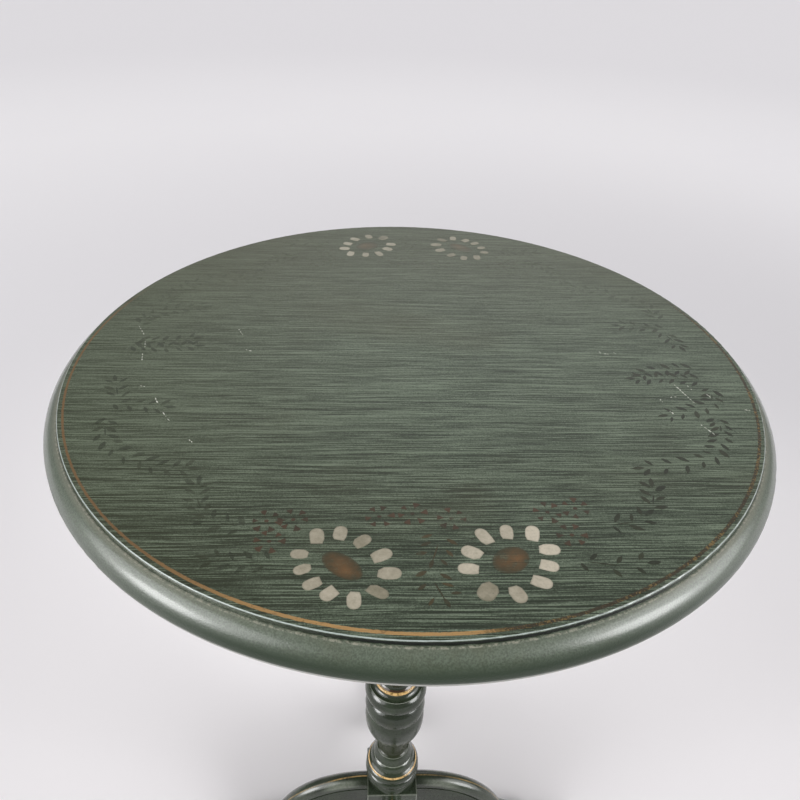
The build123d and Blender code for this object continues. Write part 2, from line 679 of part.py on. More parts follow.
spring_start = BOLT_NOSE + BOLT_LENGTH + SPRING_END_GAP
spring_room = CASE_FRONT + CASE_LENGTH - CASE_BACK_WALL - SPRING_END_GAP - spring_start
with BuildPart() as latch_spring:
    coil = Location((0, spring_start, BOLT_Z), (-90, 0, 0)) * Helix(
        SPRING_PITCH, spring_room, SPRING_RADIUS
    )
    with BuildSketch(Plane(origin=coil @ 0, z_dir=coil % 0)):
        Circle(SPRING_WIRE_RADIUS)
    sweep(path=coil, is_frenet=True)
save(latch_spring.part, "latch_spring")
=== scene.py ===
"""Looks, light and camera for a painted tilt top table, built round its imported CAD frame."""

import math
import random

import bmesh
import bpy
from mathutils import Matrix, Vector

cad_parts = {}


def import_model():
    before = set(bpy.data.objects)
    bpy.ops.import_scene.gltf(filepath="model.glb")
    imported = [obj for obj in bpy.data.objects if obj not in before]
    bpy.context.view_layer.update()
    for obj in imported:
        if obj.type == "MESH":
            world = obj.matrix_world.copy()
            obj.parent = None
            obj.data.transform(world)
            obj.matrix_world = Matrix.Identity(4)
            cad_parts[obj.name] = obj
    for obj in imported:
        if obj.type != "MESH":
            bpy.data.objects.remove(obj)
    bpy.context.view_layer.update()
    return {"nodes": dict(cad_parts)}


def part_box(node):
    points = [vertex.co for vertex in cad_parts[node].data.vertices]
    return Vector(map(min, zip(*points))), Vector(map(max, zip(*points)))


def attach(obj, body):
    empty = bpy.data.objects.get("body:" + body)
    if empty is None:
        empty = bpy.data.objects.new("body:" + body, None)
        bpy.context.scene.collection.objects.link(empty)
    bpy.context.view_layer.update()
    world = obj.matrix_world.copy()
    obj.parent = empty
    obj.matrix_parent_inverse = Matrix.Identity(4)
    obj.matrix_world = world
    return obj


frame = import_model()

MM = 0.001

# ---------------------------------------------------------------- sizes read from the frame
board_low, board_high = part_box("top_board")
TOP_Z = board_high.z
TOP_RADIUS = (board_high.x - board_low.x) / 2
FACE_RADIUS = TOP_RADIUS - 11 * MM      # flat face inside the moulding
RISER_HEIGHT = 3.8 * MM                 # step from the face down to the moulding's shoulder
SHOULDER_WIDTH = 1.1 * MM
MOULD_FOOT_Z = TOP_Z - 19.8 * MM        # just under the moulding's widest part

# ---------------------------------------------------------------- gilding and wear
RING_RADIUS = FACE_RADIUS - 3.8 * MM    # middle of the gold line round the top
RING_HALF_WIDTH = 0.8 * MM
GOLD_RINGS = ((0.3163, 1.1 * MM), (0.1571, 0.8 * MM))   # height and half height on the column
GOLD_SHADOW_Z = 0.3183
NECK_LOW_Z = 0.186                      # painted shade on the neck between the vase and the lower rings
NECK_HIGH_Z = 0.214
BLOCK_ARRIS = 27.9 * MM                 # the foot block is rubbed beyond this far out
BLOCK_BRINK_Z = 0.1224                  # and round its top at this height
RUBBED_RINGS_Z = (0.3100, 0.2866, 0.1833, 0.1716)   # sharp edges rubbed pale
RUBBED_HALF_HEIGHT = 0.35 * MM
LEG_LINE_HALF_WIDTH = 0.55 * MM
LEG_LINE_STRAY = 3.0 * MM               # the left leg's line wanders this far off its ridge

FILM = 0.10 * MM                        # stencil paint stands this far above the face
FILM_SINK = 0.30 * MM                   # and its solid reaches this far into it
FILM_STEP = 0.004 * MM                  # patches that overlap are laid one above another
FILM_STEPS = 7

# ---------------------------------------------------------------- camera and light
CAMERA_AT = Vector((-0.0357, -0.4557, 1.0056))
CAMERA_HEADING = math.radians(3.5)
CAMERA_PITCH = math.radians(36.02)
CAMERA_ROLL = math.radians(2.3)
CAMERA_LENS = 33.3
SENSOR = 36.0
SHEET_SIDE = 0.12                       # X and Z of the direction to the hanging sheet's middle
SHEET_RISE = 0.50
SHEET_SIDE_SQUEEZE = 0.60               # it is wider than it is tall
SHEET_RISE_SQUEEZE = 1.35
SHEET_FULL = 0.10                       # squeezed distances: full strength, room strength
SHEET_END = 0.36
SHEET_STRENGTH = 1.02
ROOM_STRENGTH = 0.20
WALL_STRENGTH = 0.76                    # the backdrop as the camera sees it over the floor's edge
FLOOR_HALF_SIZE = 12.0
# suns: name, direction they shine from, angle across in degrees, strength
SUNS = (
    ("left_softbox", (-0.85, -0.36, 0.44), 56, 1.75),
    ("left_core", (-0.88, -0.38, 0.28), 25, 1.30),
    ("right_softbox", (0.86, -0.26, 0.46), 52, 1.55),
    ("right_core", (0.80, -0.42, 0.38), 27, 1.15),
)


# ================================================================ node materials
class Paint:
    """One node material under construction; each method adds a node and returns its output."""

    def __init__(self, name):
        self.material = bpy.data.materials.new(name)
        self.material.use_nodes = True
        self.tree = self.material.node_tree
        self.tree.nodes.clear()
        self.where = self.node("ShaderNodeTexCoord").outputs["Object"]
        self.normal = self.node("ShaderNodeNewGeometry").outputs["Normal"]

    def node(self, kind, inputs=(), **settings):
        made = self.tree.nodes.new(kind)
        for key, value in settings.items():
            setattr(made, key, value)
        for key, value in dict(inputs).items():
            self.feed(made.inputs[key], value)
        return made

    def feed(self, socket, value):
        if isinstance(value, bpy.types.NodeSocket):
            self.tree.links.new(value, socket)
        else:
            socket.default_value = value

    def math(self, operation, a, b=0.0, clamp=False):
        made = self.node("ShaderNodeMath", {0: a, 1: b}, operation=operation, use_clamp=clamp)
        return made.outputs[0]

    def plus(self, a, b):
        return self.math("ADD", a, b)

    def times(self, a, b):
        """The product of two numbers; of two masks, where both hold."""
        return self.math("MULTIPLY", a, b)

    def absolute(self, a):
        return self.math("ABSOLUTE", a)

    def apart(self, a, b):
        return self.absolute(self.math("SUBTRACT", a, b))

    def swing(self, noise, gain):
        """A noise from 0 to 1 as one about 0, gain from end to end."""
        return self.times(self.math("SUBTRACT", noise, 0.5), gain)

    def split(self, vector):
        return self.node("ShaderNodeSeparateXYZ", {0: vector}).outputs

    def scaled(self, vector, x, y, z, shift=0.0):
        inputs = {"Vector": vector, "Scale": (x, y, z), "Location": (shift, shift, shift)}
        return self.node("ShaderNodeMapping", inputs).outputs[0]

    def noise(self, vector, scale, detail=2.0, roughness=0.5, distortion=0.0):
        inputs = {
            "Vector": vector,
            "Scale": scale,
            "Detail": detail,
            "Roughness": roughness,
            "Distortion": distortion,
        }
        return self.node("ShaderNodeTexNoise", inputs).outputs["Fac"]

    def ramp(self, value, low, high):
        """0 below low, 1 above high, smooth between; low may be above high."""
        inputs = {"Value": value, "From Min": low, "From Max": high}
        made = self.node("ShaderNodeMapRange", inputs, interpolation_type="SMOOTHSTEP")
        return made.outputs["Result"]

    def line(self, value, centre, half_width, soft):
        """1 where value is within half_width of centre, falling to 0 over soft."""
        return self.ramp(self.apart(value, centre), half_width + soft, half_width)

    def either(self, a, b):
        return self.math("MAXIMUM", a, b)

    def mix(self, factor, a, b):
        """a where factor is 0, b where it is 1, for colours."""
        made = self.node("ShaderNodeMix", data_type="RGBA")
        sockets = made.inputs[0], made.inputs[6], made.inputs[7]
        for socket, value in zip(sockets, (factor, a, b)):
            self.feed(socket, value)
        return made.outputs[2]

    def tint(self, colour, other, mask, share):
        """colour, with that share of another laid over it where the mask is 1."""
        return self.mix(self.times(mask, share), colour, other)

    def number(self, factor, a, b):
        """a where factor is 0, b where it is 1, for numbers."""
        inputs = {"Value": factor, "To Min": a, "To Max": b}
        return self.node("ShaderNodeMapRange", inputs).outputs["Result"]

    def radius(self):
        """Distance from the column's axis."""
        x, y, _ = self.split(self.where)
        return self.math("SQRT", self.plus(self.times(x, x), self.times(y, y)))

    def attribute(self, name):
        return self.node("ShaderNodeAttribute", attribute_name=name).outputs["Fac"]

    def bump(self, height, distance, strength):
        inputs = {"Height": height, "Distance": distance, "Strength": strength}
        return self.node("ShaderNodeBump", inputs).outputs[0]

    def surface(self, colour, roughness, normal=None, **others):
        """Ends the material in one Principled shader and returns the material."""
        inputs = {"Base Color": colour, "Roughness": roughness}
        inputs.update({key.replace("_", " "): value for key, value in others.items()})
        if normal is not None:
            inputs["Normal"] = normal
        shader = self.node("ShaderNodeBsdfPrincipled", inputs)
        output = self.node("ShaderNodeOutputMaterial")
        self.tree.links.new(shader.outputs[0], output.inputs["Surface"])
        return self.material


def rgb(red, green, blue):
    """A colour given as 0-255 display values, as the linear colour that nodes use."""
    def linear(value):
        value = value / 255
        return value / 12.92 if value <= 0.04045 else ((value + 0.055) / 1.055) ** 2.4

    return (linear(red), linear(green), linear(blue), 1.0)


# ---------------------------------------------------------------- the top's streaked green paint
GLAZE_DARK = rgb(34, 44, 27)
GLAZE_MID = rgb(66, 78, 61)
GLAZE_LIGHT = rgb(113, 126, 106)
GLAZE_BROWN = rgb(72, 70, 42)
MOULD_DARK = rgb(73, 82, 68)
MOULD_LIGHT = rgb(96, 107, 91)
# the next two are painted light: shade on the lower moulding, and a pale reflection under it
MOULD_LOW_SHADE = rgb(26, 44, 22)
MOULD_FOOT_REFLECTION = rgb(176, 176, 170)
GOLD = rgb(176, 138, 86)
GOLD_FLECK = rgb(120, 98, 54)
GOLD_DULL = rgb(50, 42, 24)
GOLD_RED = rgb(108, 82, 52)
# bare paint at worn edges, also used as a painted highlight on the moulding's ledge
WORN_EDGE_AND_SHEEN = rgb(160, 158, 142)
# painted shade for the riser, and a painted glint for the face's rounded edge
RISER_SHADE = rgb(14, 19, 16)
ARRIS_GLINT = rgb(186, 198, 194)
FACE_COAT = 0.34
MOULD_COAT = 1.0
TOP_COAT_ROUGHNESS = 0.22
TOP_COAT_IOR = 1.6

# brush streaks: how fine along X and across it, offset, share of the whole
STREAKS = (
    (26, 2050, 0.0, 0.56),
    (13, 1050, 3.0, 0.10),
    (64, 3200, 7.0, 0.34),
)
STREAK_WAVER = 1.6 * MM


def brushed(p):
    """How light the glaze is at each point, 0 to 1: dragged along X with a stiff brush."""
    waver = p.noise(p.where, 14.0, 1.0)
    x, y, z = p.split(p.where)
    y = p.plus(y, p.times(waver, STREAK_WAVER))
    drag = p.node("ShaderNodeCombineXYZ", {0: x, 1: y, 2: z}).outputs[0]
    total = 0.0
    for along_x, across, shift, share in STREAKS:
        streak = p.noise(p.scaled(drag, along_x, across, across, shift), 1.0, 0.0)
        total = p.plus(total, p.times(streak, share))
    return total


def green_glaze(p):
    """The top's base paint and streaked glaze: its colour, and the streaks for the bump."""
    x, y, _ = p.split(p.where)
    patches = p.noise(p.where, 9.0, 3.0, 0.55)
    streaks = p.plus(brushed(p), p.swing(patches, 0.10))
    contrast = p.number(p.ramp(y, -0.16, 0.14), 2.05, 1.2)      # crisper near the sitter
    light = p.plus(p.swing(streaks, contrast), 0.55)
    speckle = p.noise(p.where, 1500.0, 1.0, 0.6)
    light = p.plus(light, p.swing(speckle, 0.70))
    light = p.math("SUBTRACT", light, p.times(p.ramp(y, -0.06, -0.22), 0.12))
    colour = p.mix(p.ramp(light, 0.24, 0.50), GLAZE_DARK, GLAZE_MID)
    colour = p.mix(p.ramp(light, 0.46, 0.78), colour, GLAZE_LIGHT)
    cloud = p.noise(p.scaled(p.where, 1, 1, 1, 5.0), 5.0, 3.0, 0.6)
    colour = p.tint(colour, GLAZE_BROWN, p.ramp(cloud, 0.50, 0.72), 0.30)
    colour = p.tint(colour, GLAZE_BROWN, p.ramp(x, 0.02, -0.20), 0.24)
    colour = p.tint(colour, GLAZE_BROWN, p.ramp(y, -0.02, 0.22), 0.36)
    return colour, light


def gold_line(p, colour, fleck):
    """The line round the face: bright at the front, thin and red to -X, tarnished to +X."""
    x, y, z = p.split(p.where)
    away = p.apart(p.plus(p.radius(), p.swing(fleck, 1.1 * MM)), RING_RADIUS)
    away = p.times(away, p.number(p.ramp(x, -0.09, -0.20), 1.0, 1.4))
    ring = p.ramp(away, RING_HALF_WIDTH + 0.4 * MM, RING_HALF_WIDTH)
    ring = p.times(ring, p.ramp(z, TOP_Z - 1 * MM, TOP_Z - 0.5 * MM))
    wear = p.noise(p.where, 55.0, 2.0, 0.6)
    chips = p.plus(p.noise(p.where, 620.0, 3.0, 0.7), p.swing(wear, 0.5))
    dull = p.mix(p.ramp(chips, 0.50, 0.64), GOLD_DULL, GOLD_FLECK)
    flaking = p.times(p.math("SUBTRACT", chips, 0.62), 1.6)
    tarnish = p.plus(p.ramp(x, 0.0, 0.05), flaking)
    gold = p.tint(GOLD, GOLD_RED, p.ramp(chips, 0.42, 0.30), 0.5)
    gold = p.mix(p.ramp(tarnish, 0.1, 0.6), gold, dull)
    gold = p.tint(gold, GOLD_RED, p.ramp(x, -0.05, -0.17), 0.9)
    gold = p.mix(p.ramp(y, 0.05, 0.12), gold, colour)
    return p.tint(colour, gold, ring, 0.94)


def riser_wear_and_light(p, colour, fleck):
    """Painted glint along the face's rounded edge, painted shade on the riser, and bare flecks along
    the shoulder at its foot.

    Returns the colour, and a mask of the riser where it is in shadow.
    """
    x, _, z = p.split(p.where)
    radius = p.radius()
    # painted highlight: a pale glint along the face's rounded edge, broken by flecks
    arris_glint = p.line(radius, FACE_RADIUS - 0.20 * MM, 0.18 * MM, 0.22 * MM)
    arris_glint = p.times(arris_glint, p.ramp(z, TOP_Z - 0.8 * MM, TOP_Z - 0.5 * MM))
    arris_glint = p.times(arris_glint, p.number(fleck, 0.45, 1.0))
    colour = p.mix(arris_glint, colour, ARRIS_GLINT)
    # painted shade: the riser darkened, fully only towards the front where it is in shadow
    riser = p.line(z, TOP_Z - RISER_HEIGHT * 0.62, RISER_HEIGHT * 0.27, 0.4 * MM)
    riser = p.times(riser, p.line(radius, FACE_RADIUS, 0.5 * MM, 0.4 * MM))
    shaded = p.times(p.ramp(x, -0.11, -0.03), p.ramp(x, 0.17, 0.10))
    colour = p.mix(p.times(riser, p.number(shaded, 0.10, 1.0)), colour, RISER_SHADE)
    foot_z = TOP_Z - RISER_HEIGHT
    shoulder = p.line(radius, FACE_RADIUS + SHOULDER_WIDTH, 0.45 * MM, 0.5 * MM)
    shoulder = p.times(shoulder, p.ramp(z, foot_z + 1.0 * MM, foot_z))
    bare = p.times(shoulder, p.ramp(p.noise(p.where, 420.0, 4.0, 0.75), 0.44, 0.60))
    colour = p.tint(colour, WORN_EDGE_AND_SHEEN, bare, 0.75)
    return colour, p.times(riser, shaded)


def moulding_shades(p, colour, on_mould):
    """Painted sheen on the ledge at the riser's foot, painted shade low down, and a pale painted
    reflection under that.

    Returns the colour, and a mask of the painted shade.
    """
    x, _, z = p.split(p.where)
    radius = p.radius()
    beside = p.absolute(x)
    # painted highlight: the ledge at the riser's foot lighter towards the sides
    shelf_sheen = p.ramp(radius, FACE_RADIUS + 0.3 * MM, FACE_RADIUS + 0.9 * MM)
    shelf_sheen = p.times(shelf_sheen, p.ramp(radius, FACE_RADIUS + 5.0 * MM, FACE_RADIUS + 2.0 * MM))
    shelf_sheen = p.times(shelf_sheen, p.number(p.ramp(beside, 0.06, 0.16), 0.05, 0.35))
    colour = p.mix(shelf_sheen, colour, WORN_EDGE_AND_SHEEN)
    # painted shade: the lower moulding darker, strongest at the front
    low = p.times(on_mould, p.ramp(z, TOP_Z - 4.5 * MM, TOP_Z - 14 * MM))
    low = p.times(low, p.number(p.ramp(beside, 0.08, 0.20), 0.98, 0.40))
    colour = p.mix(low, colour, MOULD_LOW_SHADE)
    # painted reflection: a pale line of floor light at the moulding's foot, stronger to -X
    foot = p.line(z, MOULD_FOOT_Z, 0.9 * MM, 0.9 * MM)
    foot = p.times(foot, p.number(p.ramp(x, 0.12, -0.02), 0.35, 0.8))
    return p.mix(foot, colour, MOULD_FOOT_REFLECTION), low


def painted_top():
    """The round top: streaked face with its gold line, worn riser with painted glint and shade, and
    moulding with painted shade and highlights.
    """
    p = Paint("painted_top")
    radius = p.radius()
    colour, light = green_glaze(p)
    grain = p.noise(p.where, 1000.0, 3.0, 0.65)
    fleck = p.noise(p.where, 260.0, 4.0, 0.7)
    on_mould = p.ramp(radius, FACE_RADIUS - 0.2 * MM, FACE_RADIUS + 0.6 * MM)
    mould = p.mix(p.ramp(grain, 0.35, 0.65), MOULD_DARK, MOULD_LIGHT)
    stain = p.ramp(p.noise(p.where, 22.0, 4.0, 0.65), 0.5, 0.75)
    mould = p.tint(mould, GLAZE_BROWN, stain, 0.35)
    colour = p.mix(on_mould, colour, mould)
    colour = gold_line(p, colour, fleck)
    colour, shadow = riser_wear_and_light(p, colour, fleck)
    colour, low = moulding_shades(p, colour, on_mould)

    height = p.mix(on_mould, p.plus(light, p.times(grain, 0.35)), grain)
    outside = p.ramp(radius, FACE_RADIUS - 0.8 * MM, FACE_RADIUS - 0.2 * MM)
    # the coat is dropped where the lower moulding has its painted shade, and on the riser's painted
    # shade
    coat = p.number(outside, FACE_COAT, p.number(low, MOULD_COAT, 0.0))
    coat = p.times(coat, p.number(shadow, 1.0, 0.0))
    return p.surface(
        colour,
        p.number(grain, 0.30, 0.44),
        p.bump(height, 0.35 * MM, 0.6),
        Coat_Weight=coat,
        Coat_Roughness=TOP_COAT_ROUGHNESS,
        Coat_IOR=TOP_COAT_IOR,
    )


# ---------------------------------------------------------------- the base's dark gloss paint
BASE_DARK = rgb(22, 30, 19)
BASE_LIGHT = rgb(42, 52, 37)
BASE_HAZE = rgb(68, 78, 60)
# olive patches in the paint, also used as painted shade on the neck
BASE_OLIVE_AND_SHADE = rgb(38, 42, 24)
# pale rubbed edges, also used as a painted highlight on the legs' shoulders
BASE_RUBBED_AND_SHEEN = rgb(150, 156, 142)
GOLD_BRIGHT = rgb(206, 170, 112)
GOLD_SHADOW = rgb(52, 34, 20)
LEG_COAT_ROUGHNESS = 0.20
COLUMN_COAT_ROUGHNESS = 0.14
LINE_SOFT = 0.4 * MM                    # how soft the edges of rings and lines are


class BasePaint(Paint):
    """The base's green-black paint; mark it, then end with gilded_surface."""

    def __init__(self, name):
        super().__init__(name)
        self.up = self.split(self.normal)[2]
        self.grain = self.noise(self.where, 700.0, 3.0, 0.6)
        self.drift = self.noise(self.where, 30.0, 4.0, 0.6)
        self.fleck = self.noise(self.where, 320.0, 4.0, 0.7)
        self.wobble = self.swing(self.fleck, 0.5 * MM)
        olive = self.noise(self.scaled(self.where, 1, 1, 1, 9.0), 45.0, 3.0, 0.6)
        colour = self.mix(self.ramp(self.drift, 0.35, 0.7), BASE_DARK, BASE_LIGHT)
        colour = self.tint(colour, BASE_HAZE, self.grain, 0.25)
        self.colour = self.tint(colour, BASE_OLIVE_AND_SHADE, self.ramp(olive, 0.50, 0.72), 0.5)

    def mark(self, mask, other):
        """Lays another colour over the paint where the mask is 1."""
        self.colour = self.mix(mask, self.colour, other)

    def gilded_surface(self, gilt, coat, coat_roughness):
        gold = self.mix(self.ramp(self.fleck, 0.35, 0.55), GOLD_FLECK, GOLD_BRIGHT)
        self.mark(gilt, gold)
        return self.surface(
            self.colour,
            self.number(self.grain, 0.22, 0.34),
            self.bump(self.grain, 0.05 * MM, 0.4),
            Specular_IOR_Level=0.2,
            Coat_Weight=coat,
            Coat_Roughness=coat_roughness,
        )


def painted_leg():
    """A gilded line along the bead, weaker to +X and at the far end of -X; painted highlight on the
    shoulders.
    """
    p = BasePaint("painted_leg")
    x, y, _ = p.split(p.where)
    stray = p.times(p.ramp(x, -0.03, -0.10), LEG_LINE_STRAY)
    across = p.math("MINIMUM", p.absolute(x), p.absolute(p.plus(y, stray)))
    gilt = p.line(p.plus(across, p.wobble), 0.0, LEG_LINE_HALF_WIDTH, LINE_SOFT)
    gilt = p.times(gilt, p.ramp(p.up, 0.1, 0.3))
    gilt = p.times(gilt, p.number(p.ramp(p.drift, 0.35, 0.65), 0.25, 0.95))
    gilt = p.times(gilt, p.number(p.ramp(x, 0.01, -0.03), 0.5, 1.0))
    gilt = p.times(gilt, p.number(p.ramp(x, -0.065, -0.085), 1.0, 0.35))

    # painted highlight: a pale sheen on the leg's upper bevel near the column
    out = p.radius()
    shoulder_sheen = p.times(p.ramp(out, 0.034, 0.052), p.ramp(out, 0.090, 0.066))
    shoulder_sheen = p.times(shoulder_sheen, p.times(p.ramp(p.up, 0.15, 0.50), p.ramp(p.up, 0.96, 0.80)))
    shoulder_sheen = p.times(shoulder_sheen, p.number(p.ramp(p.fleck, 0.3, 0.7), 0.30, 0.50))
    p.mark(shoulder_sheen, BASE_RUBBED_AND_SHEEN)
    coat = p.number(p.ramp(p.up, 0.02, 0.12), 0.15, 1.0)
    return p.gilded_surface(gilt, coat, LEG_COAT_ROUGHNESS)


def painted_base():
    """The column and the blocks: gilded rings, painted shade on the neck, rubbed rings and block
    corners.
    """
    p = BasePaint("painted_base")
    x, y, z = p.split(p.where)
    height = p.plus(z, p.wobble)
    gilt = p.either(*(p.line(height, at, half, LINE_SOFT) for at, half in GOLD_RINGS))
    p.mark(p.line(height, GOLD_SHADOW_Z, 0.6 * MM, LINE_SOFT), GOLD_SHADOW)
    # painted shade: the neck darkened towards olive, and its coat cut, where it sits recessed
    above_neck = p.ramp(z, NECK_HIGH_Z + 6 * MM, NECK_HIGH_Z)
    neck_shade = p.times(p.ramp(z, NECK_LOW_Z - 4 * MM, NECK_LOW_Z), above_neck)
    p.mark(p.times(neck_shade, 0.7), BASE_OLIVE_AND_SHADE)

    sides = p.absolute(x), p.absolute(y)
    corner, brink = (
        p.ramp(p.math(choice, *sides), BLOCK_ARRIS - 0.3 * MM, BLOCK_ARRIS + 0.3 * MM)
        for choice in ("MINIMUM", "MAXIMUM")
    )
    brink = p.times(brink, p.line(z, BLOCK_BRINK_Z, 0.5 * MM, 0.3 * MM))
    p.mark(p.times(p.either(corner, brink), p.number(p.fleck, 0.1, 0.75)), BASE_RUBBED_AND_SHEEN)
    for at in RUBBED_RINGS_Z:
        ring = p.line(height, at, RUBBED_HALF_HEIGHT, LINE_SOFT)
        p.mark(p.times(ring, p.number(p.fleck, 0.2, 0.9)), BASE_RUBBED_AND_SHEEN)
    coat = p.number(p.ramp(p.up, 0.20, 0.50), 0.35, 1.0)
    coat = p.times(coat, p.number(neck_shade, 1.0, 0.3))
    return p.gilded_surface(gilt, coat, COLUMN_COAT_ROUGHNESS)


# ---------------------------------------------------------------- bare wood and metals
WOOD_DARK = rgb(96, 66, 40)
WOOD_LIGHT = rgb(148, 110, 72)
WOOD_PORE = rgb(66, 44, 28)
WOOD_STAIN = rgb(90, 68, 48)


def bare_wood():
    """Aged hardwood with its grain along Y."""
    p = Paint("bare_wood")
    rings = p.noise(p.scaled(p.where, 260, 14, 260), 1.0, 4.0, 0.6, 0.4)
    pores = p.noise(p.scaled(p.where, 1500, 60, 1500), 1.0, 2.0, 0.6)
    colour = p.mix(p.ramp(rings, 0.35, 0.68), WOOD_DARK, WOOD_LIGHT)
    colour = p.mix(p.ramp(pores, 0.58, 0.70), colour, WOOD_PORE)
    colour = p.mix(p.ramp(p.noise(p.where, 16.0, 3.0), 0.5, 0.8), colour, WOOD_STAIN)
    return p.surface(colour, p.number(pores, 0.55, 0.72), p.bump(pores, 0.1 * MM, 0.5))


def aged_metal(name, clean, dull, dirt, rough_low, rough_high):
    """Metal with a hand-rubbed face, duller patches and dark dirt specks."""
    p = Paint(name)
    cloud = p.noise(p.where, 160.0, 4.0, 0.65)
    rub = p.noise(p.scaled(p.where, 2400, 300, 2400), 1.0, 2.0, 0.6)
    speck = p.noise(p.where, 900.0, 3.0, 0.7)
    colour = p.mix(p.ramp(cloud, 0.35, 0.68), clean, dull)
    colour = p.tint(colour, dirt, p.ramp(speck, 0.60, 0.72), 0.7)
    roughness = p.number(cloud, rough_low, rough_high)
    normal = p.bump(p.plus(rub, speck), 0.03 * MM, 0.5)
    return p.surface(colour, roughness, normal, Metallic=1.0)


# metals: slot, clean, dull and dirty colours, lowest and highest roughness
METALS = (
    ("brass", rgb(186, 148, 84), rgb(128, 96, 52), rgb(52, 40, 26), 0.26, 0.5),
    ("steel", rgb(150, 148, 144), rgb(96, 94, 92), rgb(50, 44, 38), 0.3, 0.5),
    ("glide_steel", rgb(168, 166, 162), rgb(110, 108, 106), rgb(56, 50, 44), 0.22, 0.45),
    ("iron", rgb(66, 62, 58), rgb(44, 40, 38), rgb(72, 48, 34), 0.5, 0.75),
)


def paint_cad():
    """Gives every node of the frame the look of its slot, and the legs their own."""
    looks = {metal[0]: aged_metal(*metal) for metal in METALS}
    looks["painted_top"] = painted_top()
    looks["painted_base"] = painted_base()
    looks["bare_wood"] = bare_wood()
    leg_look = painted_leg()
    for name, node in frame["nodes"].items():
        slot = node.material_slots[0]
        is_leg = name.startswith("leg_") and slot.name == "painted_base"
        slot.material = leg_look if is_leg else looks[slot.name]


paint_cad()


# ================================================================ stencilled decoration
# Every outline is a list of (x, y) in metres about its own origin, anticlockwise. The same
# stencil was used twice, turned half round, so each outline is laid down at both places.
SECOND_TURN = math.radians(177.2)       # how far round the stencil was moved for the second half
SECOND_SIZE = 0.84                      # petals of the second half are this much smaller
LEAF_LENGTH = 8.6 * MM
LEAF_WIDTH = 3.0 * MM
LEAF_SPREAD = math.radians(52)          # how far the leaves lean out from their stem
VINE_GAP = 4.5 * MM                     # leaves' middles from the stem
SPRIG_GAP = 6.5 * MM
SPRIG_LEAF_SIZE = 0.82
STEM_WIDTH = 0.9 * MM
WHEEL_RADIUS = 4.2 * MM                 # wedges' points from a wheel's middle
WHEEL_WEDGES = 6
WHEEL_DOT = (2.6 * MM, 2.4 * MM)
WEDGE_LENGTH = 4.4 * MM
WEDGE_WIDTH = 4.2 * MM
WEDGE_HALF_ANGLE = math.radians(26)
SCRATCH_PIECE = 3 * MM                  # scratches are broken into pieces this long
SCRATCH_STRAY = 0.3 * MM                # that stray this far from the line

# petals: direction and distance from the flower's middle, heading, length, width, brightness;
# angles in degrees, lengths in mm
LEFT_PETALS = (
    (124, 25.2, 96, 11.5, 8.0, 0.35),
    (94, 23.0, 82, 10.6, 7.7, 0.35),
    (59, 19.9, 40, 11.0, 7.4, 0.20),
    (19, 21.7, 27, 12.0, 8.0, 0.45),
    (-12, 24.8, -1, 12.8, 8.2, 0.40),
    (-43, 24.9, -32, 12.0, 6.8, 0.10),
    (-74, 23.0, -89, 11.0, 7.4, 0.60),
    (-109, 19.1, -138, 9.6, 7.6, 0.55),
    (-142, 18.8, -152, 10.4, 6.8, 0.40),
    (-174, 20.4, -157, 9.8, 6.4, 0.40),
    (160, 24.0, 178, 9.8, 6.4, 0.30),
)
RIGHT_PETALS = (
    (165, 20.8, 152, 11.9, 8.4, 0.75),
    (126, 20.8, 118, 12.6, 7.4, 0.60),
    (88, 20.0, 88, 10.9, 7.4, 0.60),
    (52, 24.0, 80, 11.8, 8.0, 1.00),
    (18, 23.0, 0, 11.9, 7.8, 1.00),
    (-12, 20.0, -17, 10.4, 7.4, 0.90),
    (-48, 20.2, -21, 11.3, 7.6, 0.75),
    (-90, 22.5, -66, 11.4, 8.0, 0.45),
    (-126, 25.5, -124, 12.4, 10.0, 0.10),
    (-166, 23.8, 176, 11.4, 7.4, 0.80),
)
# flowers: x, y, heading, length and width of the oval middle, petals
FLOWERS = (
    (-46.3, -196.8, -40, 25.5, 14.0, LEFT_PETALS),
    (42.1, -193.6, 36, 21.6, 17.0, RIGHT_PETALS),
)

# little wheels of red wedges: x, y in mm
WHEELS = (
    (-88.5, -164.5), (-74.0, -163.5), (-85.5, -179.5),
    (-26.6, -161.4), (-8.1, -159.3), (13.6, -163.1),
    (68.5, -158.5), (85.0, -155.5), (78.5, -176.0),
)

# vines: points from root to tip in mm, number of leaf pairs
VINES = (
    (((77, -194), (98, -198), (118, -196)), 3),
    (((101, -168), (116, -167), (127, -159)), 3),
    (((130, -155), (134, -145), (136, -134)), 3),
    (((201, -71), (199, -83), (192, -97), (182, -110), (159, -118), (132, -121)), 11),
    (((210, -37), (204, -52), (187, -62), (165, -68)), 7),
    (((205, -11), (185, -12), (161, -20)), 5),
    (((-83, -194), (-101, -194), (-119, -190)), 4),
    (((-99, -169), (-113, -166), (-126, -160)), 3),
    (((-125, -157), (-130, -144), (-131, -131)), 4),
    (((-200, -72), (-197, -88), (-188, -102), (-170, -113), (-153, -120), (-136, -121)), 10),
    (((-200, -56), (-181, -59), (-163, -60)), 4),
    (((-199, -50), (-203, -38), (-207, -27)), 3),
    (((-207, 16), (-183, 14), (-157, 16)), 6),
)
# the brown sprig between the flowers
SPRIG = (
    (((6, -175), (4, -185), (0, -196)), 3),
    (((0, -199), (1, -211), (6, -221)), 3),
)

